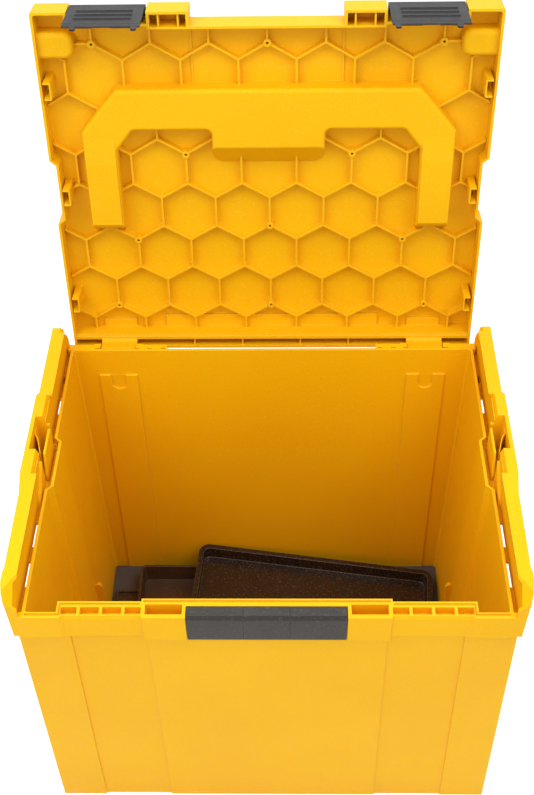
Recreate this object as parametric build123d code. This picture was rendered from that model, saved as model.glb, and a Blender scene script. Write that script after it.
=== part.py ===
from build123d import *
import math
import os

os.makedirs("parts", exist_ok=True)

# Overall size of the closed case, in millimetres. X is across, -Y is the front, +Z is up.
case_width = 453.0
case_depth = 357.0
case_height = 389.0
front_face = -case_depth / 2
rear_face = case_depth / 2

# Walls and clearances
wall = 2.8
lid_wall = 2.5
panel_step = 1.5
moving_gap = 0.3
pin_gap = 0.05

# Main levels, taken down from the top of the rails
rail_rise = 29.0
rim_height = case_height - rail_rise
lid_base = rim_height + 2.0
lid_depth = 24.5
lid_skin = 3.0
lid_top = lid_base + lid_depth
lid_under = lid_top - lid_skin
floor_thickness = 4.0
band_bottom = rim_height - 39.0
front_band_bottom = rim_height - 29.0
proud_band_bottom = rim_height - 33.3
rail_bottom = rim_height - 22.0

# Side rails: outer faces, the wider bump in the middle and the flange that stands inwards
bump_step = 2.5
bump_out = case_width / 2
rail_outer = bump_out - bump_step
rail_flange = 13.1
rail_draft = 2.6
rail_inner = rail_outer - rail_flange
rail_web = rail_inner + 2.8
rail_skin = 2.5
flange_thickness = 3.2
rail_rear = rear_face - 7.5
bump_rear = 67.0
bump_front = -36.0
bump_run = 26.0
channel_floor_thickness = 2.5
channel_floor = rim_height - 12.0
slot_spans = [(122.0, 133.0), (78.0, 105.0), (-93.0, -65.0), (-138.0, -110.0)]
hole_spans = [(25.0, 30.0), (-25.0, -19.5)]
rail_rib_places = [150.0, 117.0, 72.0, 46.0, -14.0, -47.0, -95.5, -147.0]
shelf_rib_places = [150.0, 72.0, 38.0, -47.0, -95.5, -147.0]
rail_rib_thickness = 2.2

# Tub inside: half width and the places of the front and rear walls, at the floor and at the rim
front_rim = front_face + 0.5
rail_front = front_rim
tub_half_rim = rail_inner - 4.8
tub_half_floor = tub_half_rim - 6.3
tub_rear_rim = rear_face - 16.0
tub_rear_floor = tub_rear_rim - 4.5
tub_front_rim = front_rim + 6.3
tub_front_floor = tub_front_rim + 25.7
tub_corner = 1.8
jog_depth = 5.0
jog_rear = 31.0
jog_front = -27.0
jog_slope = 5.0

# Corner posts outside the tub
post_half_base = case_width / 2 - 2.0
post_half_top = rail_outer - 9.0
post_length = 38.0
post_wall = 2.6

# Stacking pawl pocket in each rail
pocket_rear = 36.0
pocket_front = -7.0
pocket_outer = bump_out - rail_draft - 1.2
pocket_floor = rim_height - 16.0
pawl_inner = rail_inner - 2.0
pawl_rear = 28.0
pawl_front = -4.0
pawl_toe = -11.5

# Front beam under the rim
beam_outer_half = 179.5
beam_outer_inside = front_rim + 17.6
beam_mid_half = 107.4
beam_mid_inside = front_rim + 20.5
beam_slope = 28.0
lip_inside = front_rim + 4.0
rim_lip = 1.7
rim_groove = 2.1
groove_depth = 2.0
ladder_start = 107.2
ladder_end = 175.9
ladder_pitch = 19.1
ladder_rib = 2.7
ladder_depth = 9.0
deep_start = 72.1
deep_end = 103.8
deep_depth = 22.0

# Lid
lid_side_gap = 2.9
lid_half = rail_inner - lid_side_gap
lid_notch_depth = 5.7
lid_notch_rear = 24.0
lid_notch_front = -33.0
lid_notch_slope = 5.0
hinge_y = rear_face - 7.0
hinge_z = rim_height - 8.0
lid_rear = hinge_y + 3.3
lid_front = front_face + 1.0
lid_beam_front = hinge_y - 12.8
lid_beam_rear = hinge_y - 7.2
open_angle = 97.2

# Honeycomb under the lid
cell_pitch = 52.8
cell_row_start = -144.5
rib_thickness = 2.0
rib_height = 8.0
boss_radius = 3.6
boss_hole = 1.3

# Handle recess in the lid
recess_outer_half = 175.0
recess_bar_half = 140.0
recess_front = -106.0
recess_bend = -65.0
recess_inner_half = 143.0
recess_bar_rear = -66.8
recess_inner_bend = -46.5
recess_inner_bar_half = 127.0
finger_half = 53.0
recess_depth = 18.5
recess_face_end = 32.0
recess_base_end = 46.0
finger_face_end = -49.5
finger_base_end = -26.0
recess_corner = 6.0
recess_round = 3.5
finger_corner = 14.0
arm_step = 1.8
corner_bulge = lid_base + 5.3
corner_bulge_inside = lid_half - 34.5
corner_bulge_front = -157.5
corner_bulge_rear = -133.5
catch_end = rim_height - 4.0
catch_length = 16.6
catch_reach = 7.0

# Top handle
handle_gap = 1.2
handle_pivot_y = 22.0
handle_pivot_z = lid_top - 9.7
handle_end = 8.2
handle_pin_radius = 3.0

# Latches
latch_inner_edge = 107.3
latch_outer_edge = 174.3
latch_side_gap = 1.5
latch_thickness = 2.0
latch_bottom = rim_height - 35.0
latch_pin_y = front_face + 7.0
latch_pin_z = lid_top - 5.5
latch_pin_radius = 2.0
latch_barrel = 4.0
latch_recess_wall = latch_pin_y + 4.5
latch_seat = front_face + latch_thickness + moving_gap
latch_grip_first = 18.0
latch_grip_pitch = 9.5
latch_grip_count = 3
latch_grip_height = 1.1
lid_mid_half = 68.5
lid_mid_front = front_face + 14.0

# Front handle
front_handle_half = 68.4
front_handle_bottom = rim_height - 33.0
front_handle_rear = front_face + 12.0
front_handle_leg = 9.0
front_handle_bar = 16.5
front_handle_pin_z = front_handle_bottom + 5.0
front_handle_pin_y = front_face + 7.0
front_handle_pin_radius = 2.5
front_handle_sweep = 7.9

# Hinges
hinge_knuckle_start = 141.5
hinge_knuckle_end = 178.5
hinge_ear = 7.0
hinge_barrel = 5.4
hinge_pin_radius = 2.5
flange_start = 109.0

# Pawls
pawl_pin_x = rail_inner + 5.0
pawl_pin_z = pocket_floor + 5.0
pawl_pin_radius = 1.5
pawl_barrel = 2.7
pawl_thickness = 2.2
pawl_top = rim_height + 20.0
blade_thickness = 0.8
blade_gap = 2.5
blade_low = pawl_pin_z + 3.6
blade_high = rim_height + 21.0

# Fins inside the side walls
fin_place = 50.0
fin_width = 4.0
fin_reach = 8.0
fin_rise = 104.0
fin_foot = 56.0

# Loose inserts and the floor liner
liner_thickness = 2.5
bin_height = 26.0
bin_left = -163.5
bin_right = -75.0
bin_rear = tub_rear_floor - 20.5
bin_front = -30.0
step_left = -(tub_half_floor - 6.6)
step_rear = 114.0
step_height = 9.0
tray_length = 286.0
tray_breadth = 170.0
tray_height = 16.5
tray_wall = 2.0
tray_rim = 5.0
tray_corner = 13.0
bin_corner = 7.0
tray_tilt = 5.6
tray_turn = -4.3
tray_x = -91.0
tray_y = tub_rear_floor - 0.9
tray_z = 51.2


def block(x0, x1, y0, y1, z0, z1):
    """A box given by its two corners."""
    size = Box(abs(x1 - x0), abs(y1 - y0), abs(z1 - z0))
    return Pos((x0 + x1) / 2, (y0 + y1) / 2, (z0 + z1) / 2) * size


def prism_z(points, z0, z1):
    """A plan outline raised from one level to another."""
    face = make_face(Polyline(*points, close=True))
    return Pos(0, 0, z0) * extrude(face, z1 - z0, dir=(0, 0, 1))


def prism_x(points, x0, x1):
    """A side outline, given as (y, z), run from one X to another."""
    ring = Polyline(*[(x0, y, z) for y, z in points], close=True)
    return extrude(make_face(ring), x1 - x0, dir=(1, 0, 0))


def prism_y(points, y0, y1):
    """A front outline, given as (x, z), run from one Y to another."""
    ring = Polyline(*[(x, y0, z) for x, z in points], close=True)
    return extrude(make_face(ring), y1 - y0, dir=(0, 1, 0))


def ruled(low, z0, high, z1):
    """A straight-sided solid between two plan outlines."""
    wires = [
        Wire.make_polygon([Vector(x, y, z0) for x, y in low], close=True),
        Wire.make_polygon([Vector(x, y, z1) for x, y in high], close=True),
    ]
    return Solid.make_loft(wires, ruled=True)


def tapered(z0, low, z1, high):
    """A straight-sided block; each end is given as (x0, x1, y0, y1)."""
    ends = []
    for x0, x1, y0, y1 in (low, high):
        ends.append([(x0, y0), (x1, y0), (x1, y1), (x0, y1)])
    return ruled(ends[0], z0, ends[1], z1)


def rod_x(x0, x1, y, z, radius):
    """A round bar along X."""
    bar = Cylinder(radius, abs(x1 - x0), rotation=(0, 90, 0))
    return Pos((x0 + x1) / 2, y, z) * bar


def rod_y(y0, y1, x, z, radius):
    """A round bar along Y."""
    bar = Cylinder(radius, abs(y1 - y0), rotation=(90, 0, 0))
    return Pos(x, (y0 + y1) / 2, z) * bar


def both_sides(shape):
    """The shape and its mirror image across the middle of the case."""
    return [shape, mirror(shape, Plane.YZ)]


def fuse(shape, pieces):
    """Join pieces to a shape."""
    return shape + pieces


def cut(shape, pieces):
    """Take pieces away from a shape."""
    return shape - pieces


def between(low, high, z):
    """A value that runs evenly from the floor of the tub to the rim."""
    share = (z - floor_thickness) / (rim_height - floor_thickness)
    return low + (high - low) * share


def tub_half(z):
    return between(tub_half_floor, tub_half_rim, z)


def tub_rear(z):
    return between(tub_rear_floor, tub_rear_rim, z)


def tub_front(z):
    return between(tub_front_floor, tub_front_rim, z)


def tub_outline(z, grow):
    """Plan outline of the tub at one level, grown outwards by a wall."""
    half = tub_half(z) + grow
    rear = tub_rear(z) + grow
    front = tub_front(z) - grow
    jog = half - jog_depth
    right = [
        (half - tub_corner, front),
        (half, front + tub_corner),
        (half, jog_front - jog_slope),
        (jog, jog_front),
        (jog, jog_rear),
        (half, jog_rear + jog_slope),
        (half, rear - tub_corner),
        (half - tub_corner, rear),
    ]
    left = [(-x, y) for x, y in reversed(right)]
    return right + left


def front_outside(z):
    """Y of the recessed face of the front wall."""
    return tub_front(z) - wall


def rear_outside(z):
    return tub_rear(z) + wall


def tub():
    """The thin-walled box that holds the load."""
    outer = ruled(tub_outline(0, wall), 0, tub_outline(rim_height, wall), rim_height)
    top = rim_height + 1
    inner = ruled(tub_outline(floor_thickness, 0), floor_thickness, tub_outline(top, 0), top)
    return outer - inner


def front_panel(x_low, x_high, top):
    """A proud panel on the front wall; x_low and x_high give its two sides at base and top."""
    low = (x_low[0], x_low[1], front_outside(0) - panel_step, front_outside(0) + 1)
    high = (x_high[0], x_high[1], front_outside(top) - panel_step, front_outside(top) + 1)
    return tapered(0, low, top, high)


def rear_panel(x0, x1, top):
    low = (x0, x1, rear_outside(0) - 1, rear_outside(0) + panel_step)
    high = (x0, x1, rear_outside(top) - 1, rear_outside(top) + panel_step)
    return tapered(0, low, top, high)


def corner_post(at_front):
    """A hollow post outside one corner of the tub, open at its foot."""
    def ends(z, inset):
        inner = tub_half(z) + wall - 1 + inset * 1.5
        outer = between(post_half_base, post_half_top, z) - inset
        if at_front:
            y0 = front_outside(z) - panel_step + inset
            y1 = front_outside(z) + post_length - inset
        else:
            y0 = rear_outside(z) - post_length + inset
            y1 = rear_outside(z) + panel_step - inset
        return (inner, outer, y0, y1)
    head = front_band_bottom if at_front else band_bottom
    solid = tapered(0, ends(0, 0), head + 1, ends(head + 1, 0))
    hollow_top = head - post_wall
    hollow = tapered(-1, ends(-1, post_wall), hollow_top, ends(hollow_top, post_wall))
    return solid - hollow


def rail_slope_block():
    """The block above the slope at the front end of the rail, low inside and high outside."""
    high = Vector(rail_outer, rail_front, case_height - 2)
    back = Vector(rail_inner, rail_front + 26.5, case_height + 0.5)
    low = Vector(rail_inner, rail_front, case_height - 21)
    normal = (back - high).cross(low - high)
    if normal.Z < 0:
        normal = normal * -1
    slope = Plane(origin=high, z_dir=normal)
    return slope * (Pos(0, 0, 50) * Box(160, 160, 100))


def rail():
    """The right-hand side rail before its fittings are added and its openings cut."""
    top = case_height
    side = [
        (rail_rear, band_bottom), (rail_rear, rim_height + 2), (rail_rear - 4, top - 3),
        (rail_rear - 6, top), (rail_front + 9, top), (rail_front + 3, top - 1.2),
        (rail_front, top - 5), (rail_front, front_band_bottom + 2.5),
        (rail_front + 2.5, front_band_bottom), (rail_front + post_length, front_band_bottom),
        (rail_front + post_length + 6, rail_bottom), (rail_rear - post_length - 14, rail_bottom),
        (rail_rear - post_length - 6, band_bottom),
    ]
    plan = [
        (rail_inner, rail_rear), (rail_outer, rail_rear), (rail_outer, bump_rear + 1),
        (bump_out, bump_rear - 1), (bump_out, bump_front), (rail_outer - 0.6, bump_front - bump_run),
        (rail_outer - 1.4, rail_front + 31), (rail_outer - 0.4, rail_front + 27),
        (rail_outer - 0.4, rail_front + 16), (rail_outer - 3.4, rail_front),
        (rail_inner, rail_front),
    ]
    low = band_bottom - 1
    foot = [(max(x - rail_draft, rail_inner), y) for x, y in plan]
    body = prism_x(side, rail_inner, bump_out + 1) & ruled(foot, low, plan, top + 1)
    channel = block(rail_inner - 1, rail_web, rail_front + rail_skin, rail_rear - rail_skin,
                    band_bottom - 1, top - flange_thickness)
    inner_side = [
        (rail_rear - rail_skin, band_bottom - 2), (rail_rear - rail_skin, rim_height + 2),
        (rail_rear - rail_skin - 4, top - flange_thickness), (rail_front + 22, top - flange_thickness),
        (rail_front + 12, top - 13), (rail_front + 5, top - 24),
        (rail_front + rail_skin, rim_height - 4), (rail_front + rail_skin, band_bottom - 2),
    ]
    hollow = prism_x(inner_side, rail_web + 2.2, rail_outer - rail_draft - rail_skin - 1.5)
    under = block(rail_web - 1, rail_web + 3, rail_front + post_length, rail_rear - post_length - 6,
                  rail_bottom - 1, channel_floor)
    body = body - [channel, hollow, under, rail_slope_block()]
    corner = [
        (rail_inner - 1, top + 1), (rail_inner + 6, top + 1), (rail_inner + 2.3, top - 4),
        (rail_inner - 1, rim_height + 4),
    ]
    return body - prism_y(corner, rail_rear - 13, rail_rear + 1)


def rail_fittings():
    """Channel floor, cross ribs and pocket walls that tie the right-hand rail to the tub."""
    reach = rail_web + 1
    low = channel_floor
    high = channel_floor + channel_floor_thickness
    pieces = [block(tub_half_rim + 1, reach, rail_front + 1, rail_rear - 1, low, high)]
    pieces.append(block(tub_half_rim - jog_depth + 1, tub_half_rim + 2, jog_front - 2,
                        jog_rear + 2, low, high))
    for y in rail_rib_places:
        y0 = y - rail_rib_thickness / 2
        y1 = y + rail_rib_thickness / 2
        pieces.append(block(rail_web + 1, rail_outer - rail_draft - 2.5, y0, y1,
                            rail_bottom, case_height - 2))
    for y in shelf_rib_places:
        y0 = y - rail_rib_thickness / 2
        y1 = y + rail_rib_thickness / 2
        pieces.append(block(tub_half_rim + 1, reach + 1, y0, y1, rail_bottom, low + 1))
    pieces.append(block(rail_web, bump_out - rail_draft, pocket_front - 3, pocket_rear + 3,
                        pocket_floor - 3, case_height - 1))
    lip = [
        (rail_inner + 0.3, low), (rail_inner + 0.3, case_height - 8),
        (rail_web + 1, case_height - 5), (rail_web + 1, low),
    ]
    pieces.append(prism_y(lip, pocket_rear, pocket_rear + 3))
    ramp = [(pawl_toe - 2, case_height - 10), (pawl_toe - 2, low), (bump_front - 13, low + 1)]
    pieces.append(prism_x(ramp, rail_inner + 0.3, rail_web + 1))
    return pieces


def rail_cuts():
    """Through slots in the channel floor and the pawl pocket of the right-hand rail."""
    pieces = []
    top = case_height
    for y0, y1 in slot_spans:
        pieces.append(block(tub_half_rim + wall + 0.1, rail_web - 0.4, y0, y1,
                            rail_bottom - 20, rim_height - 3.5))
    for y0, y1 in hole_spans:
        pieces.append(block(tub_half_rim - jog_depth + wall + 0.6, pawl_inner - 0.8, y0, y1,
                            rail_bottom - 20, rim_height - 3.5))
    pieces.append(block(rail_web - 1, pocket_outer, pocket_front, pocket_rear,
                        pocket_floor, top + 1))
    pieces.append(block(pawl_inner - 0.6, rail_web + 0.5, pawl_toe - 0.8, pocket_rear,
                        pocket_floor, top - 9))
    pieces.append(block(pawl_inner - 0.6, rail_web + 1, bump_front - 2, bump_rear - 1,
                        top - 5.5, top + 1))
    pieces.append(block(pawl_inner - 0.6, rail_web + 0.2, pawl_toe - 2, pocket_rear + 4,
                        top - 12, top + 1))
    slant = [(rail_web - 1, top - 9), (rail_web + 3.2, top + 1), (rail_web - 1, top + 1)]
    pieces.append(prism_y(slant, bump_front - 2, bump_rear - 1))
    pieces.append(rod_y(pocket_front - 2.5, pocket_rear + 2.5, pawl_pin_x, pawl_pin_z,
                        pawl_pin_radius))
    return pieces


def front_beam():
    """The thick front rim with its ladder of pockets and the bay of the front handle."""
    top = rim_height
    rim_half = rail_inner + 1
    band = block(-rim_half, rim_half, front_rim, tub_front_rim, front_band_bottom, top)
    outer = block(-beam_outer_half, beam_outer_half, front_rim + 1, beam_outer_inside,
                  front_band_bottom, top)
    middle = block(-beam_mid_half, beam_mid_half, front_rim, beam_mid_inside,
                   proud_band_bottom, top)
    foot = proud_band_bottom - beam_slope
    head = proud_band_bottom + 1
    slope = [(tub_front(foot) - 1, foot), (beam_mid_inside, head), (tub_front(head) - 1, head)]
    return [band, outer, middle, prism_x(slope, -beam_mid_half, beam_mid_half)]


def front_cuts():
    """Pockets of the front rim, latch seats and the bay of the front handle."""
    pieces = []
    top = rim_height
    floor = top - ladder_depth
    inner = beam_outer_inside - 6.0
    middle = (ladder_start + ladder_end) / 2
    edges = [ladder_start]
    for i in (-1, 0, 1):
        edges += [middle + i * ladder_pitch - ladder_rib / 2, middle + i * ladder_pitch + ladder_rib / 2]
    edges.append(ladder_end)
    for i in range(0, len(edges), 2):
        pieces += both_sides(block(edges[i], edges[i + 1], lip_inside, inner, floor, top + 1))
    pieces += both_sides(block(deep_start, deep_end, lip_inside, beam_mid_inside - 6.0,
                               top - deep_depth, top + 1))
    seat = [
        (latch_inner_edge - 1.3, front_rim - 1), (latch_outer_edge + 3.2, front_rim - 1),
        (latch_outer_edge + 0.6, latch_seat), (latch_inner_edge - 0.6, latch_seat),
    ]
    pieces += both_sides(prism_z(seat, proud_band_bottom - 1, top + 1))
    bevel = [(latch_seat - 2, top - 4.7), (latch_seat, top - 4.7), (latch_seat + 1.2, top + 1),
             (latch_seat - 2, top + 1)]
    pieces += both_sides(prism_x(bevel, latch_inner_edge - 0.6, latch_outer_edge + 0.6))
    bay_half = front_handle_half + 2 * moving_gap
    pieces.append(block(-bay_half, bay_half, front_face - 1, front_handle_rear + 1.1,
                        front_handle_bottom - 1.5, top + 1))
    pieces.append(rod_x(-bay_half, bay_half, front_handle_pin_y, front_handle_pin_z,
                        front_handle_sweep))
    low = top - groove_depth
    y1 = beam_mid_inside - rim_lip
    pieces.append(block(-beam_mid_half + rim_lip, beam_mid_half - rim_lip, y1 - rim_groove, y1,
                        low, top + 1))
    y1 = beam_outer_inside - rim_lip
    side = beam_outer_half - rim_lip
    pieces += both_sides(block(beam_mid_half + 1.2, side, y1 - rim_groove, y1, low, top + 1))
    y2 = tub_front_rim - rim_lip + 0.3
    pieces += both_sides(block(side - 1.3, side, y2 - rim_groove, y1, low, top + 1))
    pieces += both_sides(block(side - 1.3, tub_half_rim, y2 - rim_groove - 0.4, y2, low, top + 1))
    ring = front_handle_half + front_handle_leg / 2
    for side in (-1, 1):
        pieces.append(rod_x(side * (ring - 4), side * (ring + 3), front_handle_pin_y,
                            front_handle_pin_z, front_handle_pin_radius))
    return pieces


def rear_details():
    """Flange and hinge ears on the rear rim, and raised bands inside the rear wall."""
    y_in = tub_rear_rim + 1
    pieces = []
    edge = rail_inner + 1
    start = hinge_knuckle_start - moving_gap
    end = hinge_knuckle_end + moving_gap
    for x0, x1 in ((flange_start, start - hinge_ear), (end + hinge_ear, edge)):
        pieces += both_sides(block(x0, x1, y_in, hinge_y + 0.5, rim_height - 8, rim_height))
    pieces += both_sides(block(start - 1, end + 1, y_in + 1, hinge_y + 6.5,
                               hinge_z - 12, hinge_z - hinge_barrel - 1.2))
    for x0, x1 in ((start - hinge_ear, start), (end, end + hinge_ear)):
        ear = [(y_in, rim_height), (hinge_y + 2, rim_height), (case_depth / 2, rim_height - 6),
               (case_depth / 2, hinge_z - 8), (y_in + 2, hinge_z - 16), (y_in, hinge_z - 16)]
        pieces += both_sides(prism_x(ear, x0, x1))
    return pieces


def rear_slots():
    """Short narrow slots in the top of the rear flange."""
    start = hinge_knuckle_start - moving_gap
    end = hinge_knuckle_end + moving_gap
    pieces = []
    y = tub_rear_rim + wall + 1.1
    for x0, x1 in ((flange_start + 2, flange_start + 6), (flange_start + 15.5, flange_start + 20.5),
                   (start - 3.5, start + 1), (end - 1, end + 5)):
        pieces += both_sides(block(x0, x1, y - 0.95, y + 0.95, rim_height - 8.5, rim_height + 1))
    return pieces


def rear_bands():
    """Raised upright bands on the inside of the rear wall, each with a U notch at its top."""
    band_in = hinge_knuckle_start + 1
    band_out = hinge_knuckle_end + 4
    band_top = band_bottom + 6
    pieces = []
    low = (band_in, band_out, tub_rear(floor_thickness) - 1.6, tub_rear(floor_thickness) + 1)
    high = (band_in, band_out, tub_rear(band_top) - 1.6, tub_rear(band_top) + 1)
    band = tapered(floor_thickness - 1, low, band_top, high)
    middle = (band_in + band_out) / 2
    notch = block(middle - 7.5, middle + 7.5, tub_rear_rim - 10, tub_rear(band_top) - 0.1,
                  band_top - 12, band_top + 1)
    low_end = rod_y(tub_rear_rim - 10, tub_rear(band_top) - 0.1, middle, band_top - 12, 7.5)
    pieces += both_sides(band - notch - low_end)
    return pieces


def side_fins():
    """Small upright drop-shaped fins on the side walls near the floor."""
    head = floor_thickness + fin_rise
    foot = floor_thickness + fin_foot
    x = tub_half(head)
    rise = head - foot
    drop = [
        (tub_half(foot) + 0.5, foot), (x - fin_reach * 0.45, foot + rise * 0.25),
        (x - fin_reach * 0.85, foot + rise * 0.55), (x - fin_reach, foot + rise * 0.8),
        (x - fin_reach + 0.4, head - 2), (x - fin_reach + 2, head + 1.2), (x - fin_reach / 2, head + 2),
        (x - 1.6, head + 1), (x + 0.6, head - 1.5),
    ]
    return both_sides(prism_y(drop, fin_place - fin_width / 2, fin_place + fin_width / 2))


def make_body():
    body = tub()
    pieces = []
    for at_front in (True, False):
        pieces += both_sides(corner_post(at_front))
    mid = beam_mid_half
    pieces += [front_panel((-mid - 1, mid + 1), (-mid + 3, mid - 3), proud_band_bottom + 2)]
    low = latch_outer_edge + 5
    high = latch_outer_edge - 3.5
    side = post_half_top - 3
    for panel in both_sides(front_panel((low, side), (high, side), front_band_bottom + 2)):
        pieces.append(panel)
    pieces += [rear_panel(-mid, mid, band_bottom)]
    pieces += both_sides(rear_panel(low, side, band_bottom))
    pieces += both_sides(rail())
    for piece in rail_fittings():
        pieces += both_sides(piece)
    pieces += front_beam()
    pieces += rear_details()
    pieces += rear_bands()
    pieces += side_fins()
    body = fuse(body, pieces)
    cuts = front_cuts() + rear_slots()
    for piece in rail_cuts():
        cuts += both_sides(piece)
    for side in (-1, 1):
        cuts.append(rod_x(side * (hinge_knuckle_start - hinge_ear - 2),
                          side * (hinge_knuckle_end + hinge_ear - 2),
                          hinge_y, hinge_z, hinge_pin_radius))
        cuts.append(rod_x(side * (hinge_knuckle_start - moving_gap),
                          side * (hinge_knuckle_end + moving_gap),
                          hinge_y, hinge_z, hinge_barrel + 0.4))
    return cut(body, cuts)


def at_open(shape):
    """Swing a piece of the closed lid to the open place the case rests in."""
    return Pos(0, hinge_y, hinge_z) * Rot(-open_angle, 0, 0) * Pos(0, -hinge_y, -hinge_z) * shape


def lid_plan(inset):
    """Plan outline of the lid or, with an inset, of the space inside its skirt."""
    half = lid_half - inset
    notch = half - lid_notch_depth
    mid = lid_mid_front + inset
    face = lid_front + inset
    hang = latch_recess_wall + inset
    end = latch_outer_edge + latch_side_gap + inset
    start = latch_inner_edge - latch_side_gap
    rear = lid_rear - inset
    right = [
        (lid_mid_half, mid), (lid_mid_half, face), (start, face), (start, hang),
        (end, hang), (end, face), (half - 1.5, face), (half, face + 1.5),
        (half, lid_notch_front - lid_notch_slope), (notch, lid_notch_front),
        (notch, lid_notch_rear), (half, lid_notch_rear + lid_notch_slope),
        (half, rear - 1.5), (half - 1.5, rear),
    ]
    if inset > 0:
        right = [(start, mid), (start, hang)] + right[4:]
    left = [(-x, y) for x, y in reversed(right)]
    return right + left


def recess_plan(shrink, arm_end, finger_end):
    """Plan outline of the recess for the carrying handle."""
    right = [
        (recess_bar_half - shrink / 2, recess_front + shrink),
        (recess_outer_half - shrink, recess_bend + shrink / 2),
        (recess_outer_half - shrink, arm_end - shrink),
        (recess_inner_half + shrink, arm_end - shrink),
        (recess_inner_half + shrink, recess_inner_bend),
        (recess_inner_bar_half + shrink, recess_bar_rear - shrink),
        (finger_half - shrink, recess_bar_rear - shrink),
        (finger_half - shrink, finger_end - shrink),
    ]
    left = [(-x, y) for x, y in reversed(right)]
    return right + left


def handle_recess(shrink, low, high):
    """The bulge of the recess, or the hollow in it when shrunk by a wall."""
    body = prism_z(recess_plan(shrink, recess_base_end, finger_base_end), low, high)
    ends = body.edges().filter_by(Axis.Z)
    corner = [e for e in ends if abs(e.center().Y + shrink - finger_base_end) < 1]
    body = fillet(corner, finger_corner - shrink)
    if shrink == 0:
        reach = finger_base_end - finger_corner - 1
        edges = body.edges().filter_by(Axis.Z)
        rest = [e for e in edges if not reach < e.center().Y < finger_base_end + 1]
        body = fillet(rest, recess_corner)
    ends = ((recess_face_end, recess_base_end, lid_half), (finger_face_end, finger_base_end, finger_half))
    slopes = []
    for face, base, half in ends:
        side = [
            (face - shrink, low), (base - shrink, high), (base + 20, high),
            (base + 20, low - 1), (face - shrink, low - 1),
        ]
        slopes.append(prism_x(side, -half, half))
    body = body - slopes
    if shrink == 0:
        body = fillet(body.faces().sort_by(Axis.Z)[0].edges(), recess_round)
    return body


def honeycomb(low, high):
    """A web of ribs: a plate less a field of six-sided cells."""
    side = cell_pitch / math.sqrt(3)
    row_pitch = side * 1.5
    radius = (cell_pitch / 2 - rib_thickness / 2) / math.cos(math.pi / 6)
    rows = math.ceil((case_depth + cell_pitch) / row_pitch)
    columns = math.ceil(lid_half / cell_pitch) + 1
    web = Pos(0, (lid_front + lid_beam_front) / 2) * Rectangle(2 * lid_half - 6, lid_beam_front - lid_front)
    cells = []
    for row in range(0, rows):
        y = cell_row_start + side + (row - 1) * row_pitch
        shift = 0.5 * ((row + 1) % 2)
        for column in range(-columns, columns + 1):
            x = (column + shift) * cell_pitch
            cells.append(Pos(x, y) * RegularPolygon(radius, 6, rotation=30))
    web = web - cells
    corner = 3 * cell_pitch
    run = cell_pitch / 4
    for side_sign in (-1, 1):
        turn = Rotation(0, 0, 30 * side_sign)
        spot = Pos(side_sign * (corner + run), cell_row_start + side / 4)
        web = web - spot * turn * Rectangle(side - 2, rib_thickness + 1)
        straight = Pos(side_sign * (corner + run / 2), cell_row_start)
        web = web + straight * Rectangle(run + 8, rib_thickness)
    return Pos(0, 0, low) * extrude(web, high - low, dir=(0, 0, 1))


def boss_places():
    """Where the screw bosses stand on the corners of the honeycomb."""
    row_pitch = cell_pitch / math.sqrt(3) * 1.5
    drop = cell_pitch / math.sqrt(3) / 2
    first = cell_row_start
    spots = [(0, first), (3 * cell_pitch, first), (-3 * cell_pitch, first)]
    spots += [(1.5 * cell_pitch, first + 2 * row_pitch + drop)]
    spots += [(-1.5 * cell_pitch, first + 2 * row_pitch + drop)]
    spots += [(2.5 * cell_pitch, first + 4 * row_pitch + drop)]
    spots += [(-2.5 * cell_pitch, first + 4 * row_pitch + drop), (0, first + 4 * row_pitch)]
    spots += [(0, first + 6 * row_pitch), (3 * cell_pitch, first + 6 * row_pitch)]
    spots += [(-3 * cell_pitch, first + 6 * row_pitch)]
    return spots


def lid_catches():
    """Hollow tabs that guide the closed lid inside the rim of the case."""
    tabs = []
    outer = tub_half_rim - 2.9
    for y, x in ((-108.2, outer), (-2.4, outer - jog_depth), (118.5, outer)):
        y0 = y - catch_length / 2
        y1 = y + catch_length / 2
        tab = block(x - catch_reach, x, y0, y1, catch_end, lid_under + 0.5)
        tab = fillet(tab.edges().filter_by(Axis.Z).sort_by(Axis.X)[:2], 1.6)
        tab = tab - block(x - catch_reach + 1.6, x + 1, y0 + 1.6, y1 - 1.6, catch_end - 1, lid_under - 2)
        tabs += both_sides(tab)
    return tabs


def lid_rear_beam():
    """Deep beam along the rear of the lid, its pads and the ribs behind it."""
    reach = lid_half - lid_wall + 0.5
    pieces = [block(-reach, reach, lid_beam_front, lid_beam_front + 2.2, lid_base + 1.8, lid_under + 0.5)]
    pieces.append(block(-reach, reach, lid_beam_front + 2, lid_beam_rear, lid_base + 0.6, lid_under + 0.5))
    pad = lid_under - 2.5
    pieces.append(block(-flange_start - 2, flange_start + 2, lid_beam_front - 13.5,
                        lid_beam_front + 1, pad, lid_under + 0.5))
    pieces += both_sides(block(hinge_knuckle_start + 1, hinge_knuckle_end - 2,
                               lid_beam_front - 8.5, lid_beam_front + 1, pad, lid_under + 0.5))
    for x in (30.5, 81.0):
        pieces += both_sides(block(x - 0.9, x + 0.9, lid_beam_rear - 1, lid_rear - 1,
                                   lid_base + 3, lid_under + 0.5))
    return pieces


def lid_bulges():
    """Rounded bulges in the front corners of the lid, and the ribs in the boxes between."""
    low = corner_bulge
    shape = block(corner_bulge_inside, lid_half - 1, corner_bulge_front, corner_bulge_rear,
                  low, lid_under + 0.5)
    shape = fillet(shape.edges().filter_by(Axis.Z).sort_by(Axis.X)[:2], 9)
    shape = fillet(shape.faces().sort_by(Axis.Z)[0].edges().filter_by_position(
        Axis.X, corner_bulge_inside - 1, lid_half - 1.5), 4.5)
    pieces = both_sides(shape)
    for x in (78.0, 95.5):
        pieces += both_sides(block(x - 0.8, x + 0.8, lid_front + 1, lid_mid_front + 1.2,
                                   lid_base + 1.5, lid_under + 0.5))
    return pieces


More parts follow.
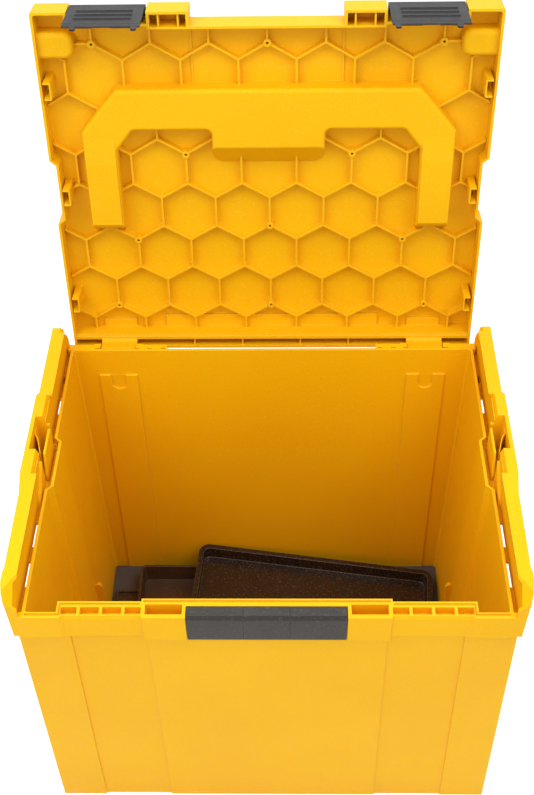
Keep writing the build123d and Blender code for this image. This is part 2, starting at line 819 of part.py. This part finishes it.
def lid_top_cuts():
    """Hollows in the upper side of the lid: corner seats and a sunk middle."""
    cuts = []
    cuts += both_sides(block(corner_bulge_inside + 4, lid_half - 5, corner_bulge_front + 3.5,
                             corner_bulge_rear - 3.5, corner_bulge + 3.5, lid_top + 1))
    middle = recess_inner_half - 15
    cuts.append(block(-middle, middle, finger_base_end + 10, lid_beam_front - 38, lid_top - 0.9, lid_top + 1))
    return cuts


def lid_arms():
    """The two hinge arms of the lid, each with its knuckle."""
    side = [
        (hinge_y + hinge_barrel, hinge_z), (hinge_y + hinge_barrel, lid_top - 5),
        (hinge_y + hinge_barrel - 5, lid_top), (lid_beam_rear - 2, lid_top),
        (lid_beam_rear - 2, lid_base + 1.5), (tub_rear_rim + wall + 0.4, rim_height + 0.6),
        (hinge_y - hinge_barrel, hinge_z + 5),
        (hinge_y - hinge_barrel, hinge_z),
    ]
    arm = prism_x(side, hinge_knuckle_start, hinge_knuckle_end)
    knuckle = rod_x(hinge_knuckle_start, hinge_knuckle_end, hinge_y, hinge_z, hinge_barrel)
    pocket = block(hinge_knuckle_start + 3, hinge_knuckle_end - 3, lid_rear - 3,
                   hinge_y + hinge_barrel + 1, lid_base + 4, lid_top - 6)
    return both_sides(arm + knuckle - pocket)


def make_lid():
    """The lid, modelled closed."""
    plate = prism_z(lid_plan(0), lid_base, lid_top)
    space = prism_z(lid_plan(lid_wall), lid_base - 1, lid_under)
    boxes = []
    step = lid_mid_half + lid_wall
    boxes += both_sides(block(step, latch_inner_edge - latch_side_gap - lid_wall,
                              lid_front + lid_wall, lid_mid_front + 0.7,
                              lid_base - 1, lid_under))
    shell = cut(plate, [space] + boxes)
    inside = prism_z(lid_plan(1.0), lid_base - 10, lid_top)
    low = lid_under - recess_depth
    bulge = handle_recess(0, low - 1.5, lid_under + 0.5)
    deep = low - 1.5 - arm_step
    step = [
        (recess_bend + 4, low - 1), (recess_bend + 4, low - 1.4), (recess_bend + 31, deep),
        (recess_face_end - 2.5, deep), (recess_face_end - 0.5, low - 1),
    ]
    deeper = both_sides(prism_x(step, recess_inner_half + 1.5, recess_outer_half - 1.5))
    web = honeycomb(lid_under - rib_height, lid_under + 0.5) & inside
    bosses = []
    for x, y in boss_places():
        height = rib_height + 1.6
        bosses.append(Pos(x, y, lid_under - height / 2 + 0.4) * Cylinder(boss_radius, height))
    edge = lid_mid_half + 0.5
    lines = both_sides(block(edge - 0.8, edge + 0.8, lid_mid_front + 1.5, recess_front + 1,
                             lid_under - 1.6, lid_under + 0.5))
    shell = fuse(shell, [web] + bosses + lines + lid_rear_beam() + lid_bulges())
    shell = fuse(shell, [bulge] + deeper + lid_catches() + lid_arms())
    cuts = [handle_recess(lid_wall, low + 1, lid_top + 0.01)]
    cuts += lid_top_cuts()
    for x, y in boss_places():
        hole = Pos(x, y, lid_under - rib_height / 2 - 2.2) * Cylinder(boss_hole, rib_height + 0.4)
        cuts.append(hole)
    for side in (-1, 1):
        cuts.append(rod_x(side * (hinge_knuckle_start - 1), side * (hinge_knuckle_end + 1),
                          hinge_y, hinge_z, hinge_pin_radius + pin_gap))
        cuts.append(rod_x(side * (latch_inner_edge - 5.2), side * (latch_outer_edge + 5),
                          latch_pin_y, latch_pin_z, latch_pin_radius))
        cuts.append(rod_x(side * (recess_inner_half + 1), side * (recess_outer_half - 1),
                          handle_pivot_y, handle_pivot_z, handle_pin_radius))
    shell = cut(shell, cuts)
    return shell


def make_top_handle():
    """The carrying handle, lying flush in its recess in the lid."""
    shrink = lid_wall + handle_gap
    low = lid_under - recess_depth + 3.2
    plan = recess_plan(shrink, handle_pivot_y + handle_end + shrink, recess_bar_rear)
    plan = plan[:6] + plan[10:]
    body = prism_z(plan, low, lid_top - 0.3)
    half = handle_end
    end_block = block(-200, 200, handle_pivot_y, handle_pivot_y + 30, low - 1, lid_top + 1)
    body = body - end_block
    x0 = recess_inner_half + shrink
    x1 = recess_outer_half - shrink
    body = body + both_sides(rod_x(x0, x1, handle_pivot_y, handle_pivot_z, half))
    hollows = []
    hollows.append(block(-118, 118, recess_front + shrink + 3, recess_bar_rear - shrink - 3,
                         low - 1, lid_top - 4))
    hollows += both_sides(block(x0 + 3, x1 - 3, recess_bend + 6, handle_pivot_y - half - 3,
                                low - 1, lid_top - 4))
    body = body - hollows
    ribs = []
    for x in (-96.0, -64.0, -32.0, 0.0, 32.0, 64.0, 96.0):
        ribs.append(block(x - 1, x + 1, recess_front + shrink + 2, recess_bar_rear - shrink - 2,
                          low + 2, lid_top - 3))
    body = body + ribs
    holes = []
    for side in (-1, 1):
        holes.append(rod_x(side * (x0 - 1), side * (x1 + 1), handle_pivot_y, handle_pivot_z,
                           handle_pin_radius + pin_gap))
    return body - holes


def make_latch():
    """The right-hand latch in its closed place on the closed lid."""
    x0 = latch_inner_edge
    x1 = latch_outer_edge
    face = -case_depth / 2
    back = face + latch_thickness
    side = [
        (face, latch_bottom + 6), (face, latch_pin_z - 3), (face + 1.2, latch_pin_z + 1.6),
        (latch_pin_y - 1, latch_pin_z + latch_barrel), (latch_pin_y, latch_pin_z + latch_barrel),
        (latch_pin_y, latch_pin_z - 1), (back + 1.5, latch_pin_z - latch_barrel - 1),
        (back, latch_pin_z - 9), (back, latch_bottom + 1.5), (back - 1, latch_bottom),
        (face + 0.3, latch_bottom + 0.8),
    ]
    body = prism_x(side, x0, x1)
    barrel = rod_x(x0, x1, latch_pin_y, latch_pin_z, latch_barrel)
    hook_top = front_band_bottom - 0.7
    tip = latch_seat + 1.1
    hook = [(back - 0.5, hook_top), (tip, hook_top), (tip, hook_top - 1.2), (back - 0.5, hook_top - 4)]
    grips = []
    for i in range(latch_grip_count):
        z = latch_bottom + latch_grip_first + i * latch_grip_pitch
        crest = face - latch_grip_height
        ridge = [(face + 0.5, z + 1.6), (face, z + 1.3), (crest, z + 0.9),
                 (crest, z - 0.5), (face, z - 0.9), (face + 0.5, z - 1.2)]
        grips.append(prism_x(ridge, x0 + 9, x1 - 8))
    ribs = []
    for x in (x0 + 3.0, x0 + 17.0, (x0 + x1) / 2, x1 - 17.0, x1 - 3.0):
        rib = [(back - 0.5, latch_pin_z - 2), (latch_pin_y, latch_pin_z - 2),
               (latch_recess_wall - 0.5, latch_pin_z - latch_barrel - 2),
               (latch_recess_wall - 0.5, lid_base + 3), (back - 0.5, rim_height + 1.5)]
        ribs.append(prism_x(rib, x - 0.8, x + 0.8))
    feet = []
    for x in (x0 + 5.0, x1 - 10.0):
        foot = block(x - 2.5, x + 2.5, face + 0.4, back, latch_bottom - 4, latch_bottom + 4)
        feet.append(foot + rod_y(face + 0.4, back, x, latch_bottom - 4, 2.5))
    hooks = [prism_x(hook, x0 + 8, x0 + 26), prism_x(hook, x1 - 26, x1 - 8)]
    body = body + [barrel] + hooks + grips + ribs + feet
    crease = block(x0 - 1, x1 + 1, face - 1, face + 0.5, latch_bottom + 5.6, latch_bottom + 6.6)
    bore = rod_x(x0 - 1, x1 + 1, latch_pin_y, latch_pin_z, latch_pin_radius + pin_gap)
    return body - [crease, bore]


def make_front_handle():
    """The pull handle in the bay of the front rim."""
    half = front_handle_half
    py = front_handle_pin_y
    pz = front_handle_pin_z
    radius = pz - front_handle_bottom
    face = front_face + 0.3
    bar_bottom = rim_height - front_handle_bar
    side = [
        (py - 5.6, pz - 4.6), (face, pz - 3.2), (face, rim_height - 3.4),
        (front_face + 2.5, rim_height + 1), (front_handle_rear, rim_height + 1),
        (front_handle_rear, pz), (py, pz), (py, pz - radius),
    ]
    body = prism_x(side, -half, half) + rod_x(-half, half, py, pz, radius)
    hollow = [
        (front_face + 3, bar_bottom), (front_face + 3, pz - 10),
        (front_handle_rear + 1, pz - 10), (front_handle_rear + 1, bar_bottom),
    ]
    body = body - prism_x(hollow, -half + front_handle_leg, half - front_handle_leg)
    inner = block(-half + 4, half - 4, front_face + 3, front_handle_rear - 2.5,
                  bar_bottom - 1, rim_height - 2)
    body = body - inner
    plate = block(-half + 4, half - 4, front_face + 0.6, front_face + 3.2,
                  pz + 4, bar_bottom + 4)
    body = body + [plate]
    ribs = []
    for x in (-45.0, -15.0, 15.0, 45.0):
        ribs.append(block(x - 1, x + 1, front_face + 2, front_handle_rear - 1,
                          bar_bottom + 3, rim_height - 1))
    body = body + ribs
    seams = []
    for x in (-20.0, 20.0):
        seams.append(block(x - 0.5, x + 0.5, front_face - 1, front_face + 0.9, pz - 6, rim_height + 2))
        seams.append(block(x - 0.5, x + 0.5, front_face - 1, front_handle_rear + 1,
                           rim_height + 0.4, rim_height + 2))
    body = body - seams
    bores = []
    for sign in (-1, 1):
        bores.append(rod_x(sign * (half - front_handle_leg - 1), sign * (half + 1), py, pz,
                           front_handle_pin_radius + pin_gap))
    return body - bores


def make_pawl():
    """The spring-loaded stacking catch in the pocket of the right-hand rail."""
    x0 = pawl_inner
    x1 = pawl_inner + pawl_thickness
    foot = pawl_pin_z - 2.5
    section = [
        (x0, foot), (x0, pawl_top - 1), (x0 + 0.8, pawl_top), (x1, pawl_top),
        (x1 + 0.3, pawl_pin_z + 3), (pawl_pin_x, pawl_pin_z + 2), (pawl_pin_x, foot),
    ]
    outline = [
        (pawl_rear, foot - 1), (pawl_rear, pawl_top + 1), (pawl_front, pawl_top + 1),
        (pawl_toe, pawl_pin_z + 7), (pawl_toe, foot - 1),
    ]
    plate = prism_y(section, pawl_toe - 1, pawl_rear + 1) & prism_x(outline, x0 - 1, pawl_pin_x + 1)
    room = block(x1 + 0.4, pawl_pin_x + 4, pawl_toe - 2, pocket_front + 0.8, foot - 1, pawl_top)
    barrel = rod_y(pocket_front + 0.8, pocket_rear - 0.8, pawl_pin_x, pawl_pin_z, pawl_barrel)
    bore = rod_y(pocket_front - 1, pocket_rear + 1, pawl_pin_x, pawl_pin_z,
                 pawl_pin_radius + pin_gap)
    return (plate - room) + [barrel] - bore


def make_pawl_spring():
    """The curved blade that presses on the catch from the outer wall of its pocket."""
    outer = pocket_outer
    t = blade_thickness
    tip = pawl_inner + pawl_thickness + blade_gap
    run = outer - tip - t
    strip = [
        (outer, pawl_rear), (outer, pawl_rear - 8), (outer - run * 0.38, pawl_rear - 13),
        (outer - run * 0.7, pawl_rear - 22), (tip + t, pocket_front + 2.5),
        (tip, pocket_front + 3), (outer - run * 0.7 - t, pawl_rear - 22),
        (outer - run * 0.4 - t, pawl_rear - 12.4), (outer - t, pawl_rear - 7), (outer - t, pawl_rear),
    ]
    return prism_z(strip, blade_low, blade_high)


def make_liner():
    """The mat on the floor of the case."""
    low = tub_outline(floor_thickness, -0.8)
    mat = prism_z(low, floor_thickness, floor_thickness + liner_thickness)
    return mat - (side_fins() + rear_bands())


def round_uprights(shape, radius):
    """Round the four leaning corners of a tapered block."""
    leaning = [e for e in shape.edges() if abs((e % 0.5).Z) > 0.5]
    return fillet(leaning, radius)


def make_bin():
    """The dark open bin on the left of the floor, with a low shelf at its side."""
    base = floor_thickness + liner_thickness + moving_gap
    top = base + bin_height
    step_top = base + step_height - 2.5
    taper = 1.5
    outer = tapered(base, (bin_left + taper, bin_right - taper, bin_front + taper, bin_rear - taper),
                    top, (bin_left, bin_right, bin_front, bin_rear))
    outer = round_uprights(outer, bin_corner)
    inner = tapered(base + 2, (bin_left + 4, bin_right - 4, bin_front + 4, bin_rear - 4),
                    top + 1, (bin_left + 2.5, bin_right - 2.5, bin_front + 2.5, bin_rear - 2.5))
    inner = round_uprights(inner, bin_corner - 2)
    shelf = block(step_left, bin_left + 2, bin_front, step_rear, base, step_top)
    pocket = block(step_left + 2, bin_left - 1, bin_front + 2, step_rear - 2, base + 2, step_top + 1)
    divider = block(bin_left + 1, bin_right - 1, 53, 55, base + 1, top - 3)
    return (outer + shelf - [inner, pocket]) + divider


def make_tray():
    """The loose tray that lies askew on the edge of the bin and on the mat."""
    length = tray_length
    breadth = tray_breadth
    shell = tapered(-tray_height, (tray_rim, length - tray_rim, -breadth + tray_rim, -tray_rim),
                    0, (tray_rim - 1.5, length - tray_rim + 1.5, -breadth + tray_rim - 1.5,
                        -tray_rim + 1.5))
    shell = round_uprights(shell, tray_corner - tray_rim)
    rim = block(0, length, -breadth, 0, -tray_wall, 0)
    lip = block(0, length, -breadth, 0, -tray_wall - 2.5, 0)
    lip = lip - block(1.5, length - 1.5, -breadth + 1.5, -1.5, -tray_wall - 3, -tray_wall)
    body = shell + [rim, lip]
    upright = [e for e in body.edges().filter_by(Axis.Z) if e.length < 6]
    body = fillet(upright, tray_corner)
    inset = tray_rim + tray_wall - 1.0
    hollow = tapered(-tray_height + tray_wall,
                     (inset + 1.5, length - inset - 1.5, -breadth + inset + 1.5, -inset - 1.5),
                     1, (inset, length - inset, -breadth + inset, -inset))
    hollow = round_uprights(hollow, tray_corner - inset)
    body = body - hollow
    place = Pos(tray_x, tray_y, tray_z) * Rot(0, tray_tilt, 0) * Rot(0, 0, tray_turn)
    return place * body


def save(shape, name):
    """Write one node."""
    export_step(shape, "parts/" + name + ".step")


def save_pair(shape, name):
    """Write the right-hand node and its mirror image as the left-hand one."""
    save(shape, name + "_right")
    save(mirror(shape, Plane.YZ), name + "_left")


save(make_body(), "body_shell")
save(make_liner(), "floor_liner")
save(at_open(make_lid()), "lid_shell")
save(at_open(make_top_handle()), "top_handle")
save(make_front_handle(), "front_handle")
save_pair(at_open(make_latch()), "latch")
save_pair(make_pawl(), "stack_pawl")
save_pair(make_pawl_spring(), "stack_pawl_spring")
save(make_bin(), "lower_insert")
save(make_tray(), "upper_insert")
hinge_pin = rod_x(hinge_knuckle_start - hinge_ear - 1.5, hinge_knuckle_end + hinge_ear - 2.2,
                  hinge_y, hinge_z, hinge_pin_radius)
save_pair(hinge_pin, "hinge_pin")
latch_pin = rod_x(latch_inner_edge - 5.5, latch_outer_edge + 3.5, latch_pin_y, latch_pin_z,
                  latch_pin_radius)
save_pair(at_open(latch_pin), "latch_pin")
top_pin = rod_x(recess_inner_half + 1.2, recess_outer_half - 1.2, handle_pivot_y, handle_pivot_z,
                handle_pin_radius)
save_pair(at_open(top_pin), "top_handle_pin")
ring = front_handle_half + front_handle_leg / 2
front_pin = rod_x(front_handle_half - front_handle_leg + 0.5, ring + 2.5, front_handle_pin_y,
                  front_handle_pin_z, front_handle_pin_radius)
save_pair(front_pin, "front_handle_pin")
pawl_pin = rod_y(pocket_front - 2, pocket_rear + 2, pawl_pin_x, pawl_pin_z, pawl_pin_radius)
save_pair(pawl_pin, "stack_pawl_pin")
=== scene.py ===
"""The looks, the camera and the light of an open stackable tool case.

The case's own pieces come from the frame and keep their shape: this script gives them
materials and sets the studio of the photograph around them.
"""

import math

import bpy
from mathutils import Matrix, Vector

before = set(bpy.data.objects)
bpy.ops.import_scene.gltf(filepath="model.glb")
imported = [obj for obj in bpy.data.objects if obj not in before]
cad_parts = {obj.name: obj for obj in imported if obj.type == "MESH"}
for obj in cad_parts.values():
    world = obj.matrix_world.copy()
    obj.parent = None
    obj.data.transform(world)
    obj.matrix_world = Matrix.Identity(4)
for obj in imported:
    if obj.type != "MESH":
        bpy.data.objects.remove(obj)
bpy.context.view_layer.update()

MM = 0.001

# The photograph's frame, in pixels
IMAGE_WIDTH = 534
IMAGE_HEIGHT = 795

# The camera, fitted to the edges in the photograph. Its place is in mm and its angles in
# radians; the focal length and the optical centre are in pixels of that frame.
CAMERA_PLACE = (22.95, -773.95, 1186.70)
CAMERA_PITCH = 0.815
CAMERA_YAW = -0.0293
CAMERA_ROLL = -0.0228
CAMERA_FOCAL = 1197.1
CAMERA_CENTRE = (269.36, 460.59)
CAMERA_NEAR = 0.01
CAMERA_FAR = 50.0
SENSOR = 36.0

# The lamps: name, place and aim in metres, size in metres and power in watts
LAMPS = (
    ("left", (-0.6, -0.35, 1.5), (0.15, -0.05, 0.25), 0.7, 7.6),
    ("right", (0.6, -0.35, 1.5), (-0.15, -0.05, 0.25), 0.7, 7.0),
    ("front", (-0.2, -1.6, 1.0), (0, -0.2, 0.3), 1.2, 4.4),
    ("back", (0.0, 1.1, 1.75), (0, -0.1, 0.35), 1.0, 9.0),
)

# The studio: strength of the soft light from all round and of the backdrop that is seen
AMBIENT = 0.68
BACKDROP = 1.0

# The floor: half its side and its drop under the case in metres, its grey and its glow
FLOOR_HALF = 12.0
FLOOR_DROP = 0.0006
FLOOR_GREY = 0.8
FLOOR_GLOW = 0.45
WHITE = (1.0, 1.0, 1.0, 1.0)

# Patterns of the moulded plastics: scales of noise over the piece's own metres, and the band
# of the noise's values that each pattern is drawn from
TONE_SCALE, TONE_BAND = 7.0, (0.35, 0.65)
SPECK_SCALE, SPECK_BAND = 420.0, (0.55, 0.75)
SPECK_STRENGTH = 0.25
GLOSS_SCALE, GLOSS_BAND = 60.0, (0.3, 0.7)
GLOSS_DOWN, GLOSS_UP = 0.05, 0.06
GRAIN_SCALE = 1500.0
COARSE_DETAIL, FINE_DETAIL = 2.0, 3.0
ROUGH_NOISE, ROUGHER_NOISE = 0.55, 0.6

# An edge is painted lighter, partly for wear and partly as a painted highlight, as the softened
# normal leaves the true one: the cosine of the angle between them where that starts, and where
# it is full
WEAR_AND_HIGHLIGHT_FROM = 0.995
WEAR_AND_HIGHLIGHT_FULL = 0.75
BEVEL_SAMPLES = 6

# Sockets of Blender's Mix node in colour mode, which share their names with other modes
MIX_FACTOR, MIX_FIRST, MIX_SECOND, MIX_RESULT = 0, 6, 7, 2


def srgb(r, g, b):
    """A display colour, 0 to 255, as the linear colour that the shader takes.

    The numbers are those of the sRGB curve.
    """
    linear = []
    for value in (r, g, b):
        value = value / 255
        linear.append(value / 12.92 if value <= 0.04045 else ((value + 0.055) / 1.055) ** 2.4)
    return (*linear, 1.0)


class Nodes:
    """A short way to build the node tree of a material or a world."""

    def __init__(self, owner):
        self.owner = owner
        owner.use_nodes = True
        self.tree = owner.node_tree
        self.tree.nodes.clear()

    def add(self, kind, **values):
        """A new node of this kind, with its settings."""
        node = self.tree.nodes.new("ShaderNode" + kind)
        for key, value in values.items():
            setattr(node, key, value)
        return node

    def link(self, source, target):
        self.tree.links.new(source, target)

    def noise(self, coordinates, scale, detail=FINE_DETAIL, roughness=ROUGH_NOISE):
        """Soft noise, from 0 to 1."""
        node = self.add("TexNoise")
        node.inputs["Scale"].default_value = scale
        node.inputs["Detail"].default_value = detail
        node.inputs["Roughness"].default_value = roughness
        self.link(coordinates, node.inputs["Vector"])
        return node.outputs["Fac"]

    def spread(self, source, low, high, out_low=0.0, out_high=1.0):
        """A value's band from low to high, stretched over out_low to out_high."""
        node = self.add("MapRange")
        node.inputs["From Min"].default_value = low
        node.inputs["From Max"].default_value = high
        node.inputs["To Min"].default_value = out_low
        node.inputs["To Max"].default_value = out_high
        self.link(source, node.inputs["Value"])
        return node.outputs["Result"]

    def mix(self, factor, first, second):
        """The first colour where the factor is 0 and the second where it is 1."""
        node = self.add("Mix", data_type="RGBA")
        self.link(factor, node.inputs[MIX_FACTOR])
        for index, value in ((MIX_FIRST, first), (MIX_SECOND, second)):
            if isinstance(value, tuple):
                node.inputs[index].default_value = value
            else:
                self.link(value, node.inputs[index])
        return node.outputs[MIX_RESULT]

    def surface(self, shader):
        """Ends a material's tree in this shader."""
        out = self.add("OutputMaterial")
        self.link(shader.outputs["BSDF"], out.inputs["Surface"])
        return self.owner

    def by_sight(self, unseen, seen):
        """One shader for the light that falls on things, another for what the eye meets,
        straight on, in a reflection or through something clear."""
        paths = self.add("LightPath")
        direct = self.add("Math", operation="MAXIMUM")
        self.link(paths.outputs["Is Camera Ray"], direct.inputs[0])
        self.link(paths.outputs["Is Glossy Ray"], direct.inputs[1])
        passed = self.add("Math", operation="MAXIMUM")
        self.link(direct.outputs["Value"], passed.inputs[0])
        self.link(paths.outputs["Is Transmission Ray"], passed.inputs[1])
        choose = self.add("MixShader")
        self.link(passed.outputs["Value"], choose.inputs["Fac"])
        self.link(unseen, choose.inputs[1])
        self.link(seen, choose.inputs[2])
        return choose.outputs["Shader"]


def plastic(name, colour, light, dark, roughness,
            grain=0.00003, edge=0.0009, wear_and_highlight=0.35, specular=0.5):
    """Moulded plastic: fine grain, slow changes of tone, softened edges painted slightly lighter
    for wear and as a painted highlight.
    """
    n = Nodes(bpy.data.materials.new(name))
    place = n.add("TexCoord").outputs["Object"]
    broad = n.spread(n.noise(place, TONE_SCALE, COARSE_DETAIL), *TONE_BAND)
    tone = n.mix(broad, dark, colour)
    specks = n.noise(place, SPECK_SCALE, COARSE_DETAIL)
    speck = n.spread(specks, *SPECK_BAND, 0.0, SPECK_STRENGTH)
    tone = n.mix(speck, tone, light)
    bevel = n.add("Bevel", samples=BEVEL_SAMPLES)
    bevel.inputs["Radius"].default_value = edge
    geometry = n.add("NewGeometry")
    dot = n.add("VectorMath", operation="DOT_PRODUCT")
    n.link(bevel.outputs["Normal"], dot.inputs[0])
    n.link(geometry.outputs["Normal"], dot.inputs[1])
    # Lighter edges: partly wear, partly a painted highlight on the rounded edge
    edge_wear_and_highlight = n.spread(dot.outputs["Value"], WEAR_AND_HIGHLIGHT_FROM, WEAR_AND_HIGHLIGHT_FULL, 0.0, wear_and_highlight)
    tone = n.mix(edge_wear_and_highlight, tone, light)
    fine = n.noise(place, GRAIN_SCALE, COARSE_DETAIL, ROUGHER_NOISE)
    bump = n.add("Bump")
    bump.inputs["Strength"].default_value = 1.0
    bump.inputs["Distance"].default_value = grain
    n.link(fine, bump.inputs["Height"])
    n.link(bevel.outputs["Normal"], bump.inputs["Normal"])
    shader = n.add("BsdfPrincipled")
    shader.inputs["Specular IOR Level"].default_value = specular
    n.link(tone, shader.inputs["Base Color"])
    n.link(bump.outputs["Normal"], shader.inputs["Normal"])
    patches = n.noise(place, GLOSS_SCALE)
    gloss = n.spread(patches, *GLOSS_BAND, roughness - GLOSS_DOWN, roughness + GLOSS_UP)
    n.link(gloss, shader.inputs["Roughness"])
    return n.surface(shader)


def steel(name):
    """Drawn steel with fine lines along its length."""
    across, line_scale = 40.0, 900.0
    smooth, dull = 0.22, 0.4
    n = Nodes(bpy.data.materials.new(name))
    mapping = n.add("Mapping")
    mapping.inputs["Scale"].default_value = (across, 1.0, 1.0)
    n.link(n.add("TexCoord").outputs["Object"], mapping.inputs["Vector"])
    lines = n.noise(mapping.outputs["Vector"], line_scale)
    tone = n.mix(n.spread(lines, 0.3, 0.7), srgb(150, 150, 152), srgb(192, 192, 194))
    shader = n.add("BsdfPrincipled")
    shader.inputs["Metallic"].default_value = 1.0
    n.link(tone, shader.inputs["Base Color"])
    n.link(n.spread(lines, 0.2, 0.8, smooth, dull), shader.inputs["Roughness"])
    return n.surface(shader)


def foam(name):
    """Closed-cell foam with a fine pebble."""
    pebble_scale, pebble_depth, pebble_strength = 420.0, 0.0002, 0.8
    cloud_scale, crest_share, dullness = 14.0, 0.4, 0.75
    n = Nodes(bpy.data.materials.new(name))
    place = n.add("TexCoord").outputs["Object"]
    pebble = n.add("TexVoronoi")
    pebble.inputs["Scale"].default_value = pebble_scale
    n.link(place, pebble.inputs["Vector"])
    broad = n.spread(n.noise(place, cloud_scale), 0.3, 0.7)
    tone = n.mix(broad, srgb(58, 53, 51), srgb(80, 74, 71))
    crest = n.spread(pebble.outputs["Distance"], 0.0, 0.6, 0.0, crest_share)
    tone = n.mix(crest, tone, srgb(96, 90, 86))
    bump = n.add("Bump")
    bump.inputs["Strength"].default_value = pebble_strength
    bump.inputs["Distance"].default_value = pebble_depth
    n.link(pebble.outputs["Distance"], bump.inputs["Height"])
    shader = n.add("BsdfPrincipled")
    shader.inputs["Roughness"].default_value = dullness
    n.link(tone, shader.inputs["Base Color"])
    n.link(bump.outputs["Normal"], shader.inputs["Normal"])
    return n.surface(shader)


# The light colour of each plastic is the colour of its specks and of its edges, which are
# painted lighter for wear and as a painted highlight
yellow = plastic(
    "yellow_plastic", colour=srgb(247, 188, 5), light=srgb(254, 214, 84), dark=srgb(245, 183, 4),
    roughness=0.44, wear_and_highlight=0.5, specular=0.1)
lid_yellow = plastic(
    "lid_plastic", colour=srgb(238, 181, 8), light=srgb(250, 209, 76), dark=srgb(235, 176, 6),
    roughness=0.44, wear_and_highlight=0.5, specular=0.12)
charcoal = plastic(
    "latch_plastic", colour=srgb(36, 35, 36), light=srgb(100, 97, 94), dark=srgb(31, 29, 30),
    roughness=0.42, wear_and_highlight=0.45, specular=0.22)
handle_dark = plastic(
    "handle_plastic", colour=srgb(48, 44, 40), light=srgb(118, 112, 104), dark=srgb(42, 38, 34),
    roughness=0.36, wear_and_highlight=0.45, specular=0.3)
# The insert's wide, strong lighter edges are mostly a painted highlight along its glossy rim,
# with some wear
tray_dark = plastic(
    "insert_plastic", colour=srgb(44, 31, 22), light=srgb(140, 126, 112), dark=srgb(34, 24, 17),
    roughness=0.2, grain=0.00001, edge=0.0014, wear_and_highlight=0.6)
bin_dark = plastic(
    "bin_plastic", colour=srgb(78, 54, 32), light=srgb(128, 104, 80), dark=srgb(66, 45, 26),
    roughness=0.3, grain=0.00001, edge=0.0012, wear_and_highlight=0.5)
mat_dark = foam("liner_foam")
pin_steel = steel("pin_steel")

# Every node that isn't named here is a pin
FINISHES = {
    "body_shell": yellow,
    "lid_shell": lid_yellow,
    "floor_liner": mat_dark,
    "top_handle": charcoal,
    "front_handle": handle_dark,
    "latch_left": charcoal,
    "latch_right": charcoal,
    "stack_pawl_left": yellow,
    "stack_pawl_right": yellow,
    "stack_pawl_spring_left": yellow,
    "stack_pawl_spring_right": yellow,
    "lower_insert": bin_dark,
    "upper_insert": tray_dark,
}

for node_name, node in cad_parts.items():
    finish = FINISHES.get(node_name, pin_steel)
    for material_slot in node.material_slots:
        material_slot.link = "OBJECT"
        material_slot.material = finish


def make_camera():
    """The photograph's camera: where it stands, how it is turned and what it frames."""
    pitch, yaw, roll = CAMERA_PITCH, CAMERA_YAW, CAMERA_ROLL
    level_reach = math.cos(pitch)
    forward = Vector((
        math.sin(yaw) * level_reach, math.cos(yaw) * level_reach, -math.sin(pitch)))
    level = Vector((math.cos(yaw), -math.sin(yaw), 0.0))
    upward = level.cross(forward)
    right = math.cos(roll) * level + math.sin(roll) * upward
    up = math.cos(roll) * upward - math.sin(roll) * level
    turn = Matrix((right, up, -forward)).transposed().to_4x4()
    data = bpy.data.cameras.new("photo_camera")
    camera = bpy.data.objects.new("photo_camera", data)
    bpy.context.scene.collection.objects.link(camera)
    camera.matrix_world = Matrix.Translation(Vector(CAMERA_PLACE) * MM) @ turn
    long_side = max(IMAGE_WIDTH, IMAGE_HEIGHT)
    data.sensor_width = SENSOR
    data.lens = CAMERA_FOCAL * SENSOR / long_side
    data.shift_x = -(CAMERA_CENTRE[0] - IMAGE_WIDTH / 2) / long_side
    data.shift_y = (CAMERA_CENTRE[1] - IMAGE_HEIGHT / 2) / long_side
    data.clip_start = CAMERA_NEAR
    data.clip_end = CAMERA_FAR
    bpy.context.scene.camera = camera


def soft_light(name, place, aim, size, power):
    """A square studio lamp."""
    data = bpy.data.lights.new(name, "AREA")
    data.shape = "SQUARE"
    data.size = size
    data.energy = power
    lamp = bpy.data.objects.new(name, data)
    bpy.context.scene.collection.objects.link(lamp)
    lamp.location = place
    direction = Vector(aim) - Vector(place)
    lamp.rotation_mode = "QUATERNION"
    lamp.rotation_quaternion = direction.to_track_quat("-Z", "Y")


def make_floor():
    """A pale floor that reads as white where nothing shades it."""
    mesh = bpy.data.meshes.new("floor")
    half = FLOOR_HALF
    corners = [(-half, -half, 0), (half, -half, 0), (half, half, 0), (-half, half, 0)]
    mesh.from_pydata(corners, [], [(0, 1, 2, 3)])
    floor = bpy.data.objects.new("floor", mesh)
    bpy.context.scene.collection.objects.link(floor)
    floor.location.z = -FLOOR_DROP
    n = Nodes(bpy.data.materials.new("floor_white"))
    plain = n.add("BsdfDiffuse")
    plain.inputs["Color"].default_value = (FLOOR_GREY, FLOOR_GREY, FLOOR_GREY, 1.0)
    glow = n.add("Emission")
    glow.inputs["Color"].default_value = WHITE
    glow.inputs["Strength"].default_value = FLOOR_GLOW
    both = n.add("AddShader")
    n.link(plain.outputs["BSDF"], both.inputs[0])
    n.link(glow.outputs["Emission"], both.inputs[1])
    out = n.add("OutputMaterial")
    n.link(n.by_sight(plain.outputs["BSDF"], both.outputs["Shader"]), out.inputs["Surface"])
    mesh.materials.append(n.owner)


def make_world():
    """Soft light from all round, in front of a white backdrop."""
    n = Nodes(bpy.data.worlds.new("studio"))
    shades = []
    for strength in (AMBIENT, BACKDROP):
        shade = n.add("Background")
        shade.inputs["Color"].default_value = WHITE
        shade.inputs["Strength"].default_value = strength
        shades.append(shade.outputs["Background"])
    out = n.add("OutputWorld")
    n.link(n.by_sight(*shades), out.inputs["Surface"])
    bpy.context.scene.world = n.owner


make_camera()
make_floor()
make_world()
for lamp in LAMPS:
    soft_light(*lamp)
bpy.context.scene.view_settings.view_transform = "Standard"
